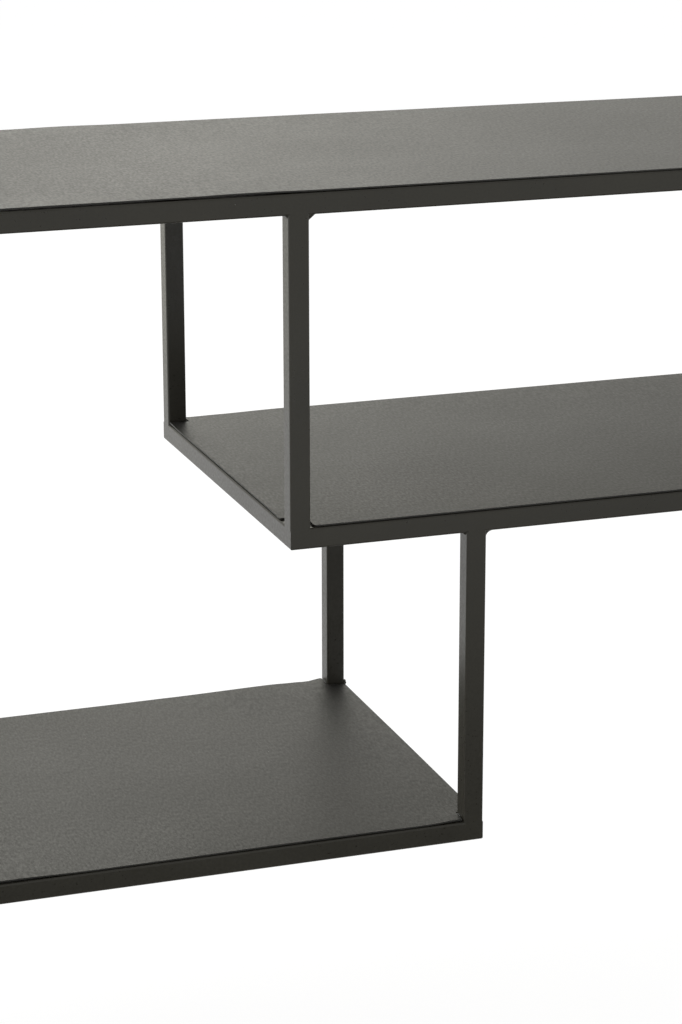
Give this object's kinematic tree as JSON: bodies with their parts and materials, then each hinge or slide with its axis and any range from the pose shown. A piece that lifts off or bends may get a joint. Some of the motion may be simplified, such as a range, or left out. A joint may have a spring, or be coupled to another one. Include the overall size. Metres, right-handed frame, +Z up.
{
  "type": "zigzag bookshelf",
  "caption": "Low zigzag bookshelf: staggered sheet steel shelves on a welded square tube frame, hung on short posts from the long top shelf, with levelling feet under the end legs.",
  "frame": {"origin": "on the floor, under the middle of the unit", "axes": "+X along the shelves, to the right seen from the front; +Y to the rear; +Z up"},
  "size_m": [1.2, 0.35, 0.77],
  "materials": {
    "tube_coat": "matt black fine-textured powder coat",
    "sheet_coat": "matt black fine-textured powder coat",
    "weld_coat": "powder coat over weld beads",
    "plug_plastic": "moulded black nylon",
    "stud_steel": "zinc plated thread",
    "pad_plastic": "moulded black nylon"
  },
  "bodies": {
    "frame": {"cross_rail_welds": "weld_coat", "leg_front_left": "tube_coat", "leg_front_right": "tube_coat", "leg_head_welds": "weld_coat", "leg_plug_front_left": "plug_plastic", "leg_plug_front_right": "plug_plastic", "leg_plug_rear_left": "plug_plastic", "leg_plug_rear_right": "plug_plastic", "leg_rail_welds": "weld_coat", "leg_rear_left": "tube_coat", "leg_rear_right": "tube_coat", "lower_front_post": "tube_coat", "lower_front_rail": "tube_coat", "lower_left_rail": "tube_coat", "lower_post_welds": "weld_coat", "lower_rear_post": "tube_coat", "lower_rear_rail": "tube_coat", "lower_right_rail": "tube_coat", "lower_sheet": "sheet_coat", "lower_sheet_welds": "weld_coat", "middle_cross_rail": "tube_coat", "middle_front_rail": "tube_coat", "middle_left_rail": "tube_coat", "middle_rear_rail": "tube_coat", "middle_right_rail": "tube_coat", "middle_sheet": "sheet_coat", "middle_sheet_welds": "weld_coat", "top_cross_rail": "tube_coat", "top_front_rail": "tube_coat", "top_left_rail": "tube_coat", "top_rear_rail": "tube_coat", "top_right_rail": "tube_coat", "top_sheet": "sheet_coat", "top_sheet_welds": "weld_coat", "upper_front_post": "tube_coat", "upper_post_welds": "weld_coat", "upper_rear_post": "tube_coat"},
    "foot_front_left": {"foot_stud_front_left": "stud_steel", "foot_pad_front_left": "pad_plastic"},
    "foot_front_right": {"foot_stud_front_right": "stud_steel", "foot_pad_front_right": "pad_plastic"},
    "foot_rear_left": {"foot_stud_rear_left": "stud_steel", "foot_pad_rear_left": "pad_plastic"},
    "foot_rear_right": {"foot_stud_rear_right": "stud_steel", "foot_pad_rear_right": "pad_plastic"}
  },
  "joints": [
    {"name": "foot_front_left_levelling", "type": "slide", "parent": "frame", "child": "foot_front_left", "axis": [0, 0, 1], "range_m": [-0.01, 0.0037]},
    {"name": "foot_front_right_levelling", "type": "slide", "parent": "frame", "child": "foot_front_right", "axis": [0, 0, 1], "range_m": [-0.01, 0.0037]},
    {"name": "foot_rear_left_levelling", "type": "slide", "parent": "frame", "child": "foot_rear_left", "axis": [0, 0, 1], "range_m": [-0.01, 0.0037]},
    {"name": "foot_rear_right_levelling", "type": "slide", "parent": "frame", "child": "foot_rear_right", "axis": [0, 0, 1], "range_m": [-0.01, 0.0037]}
  ]
}
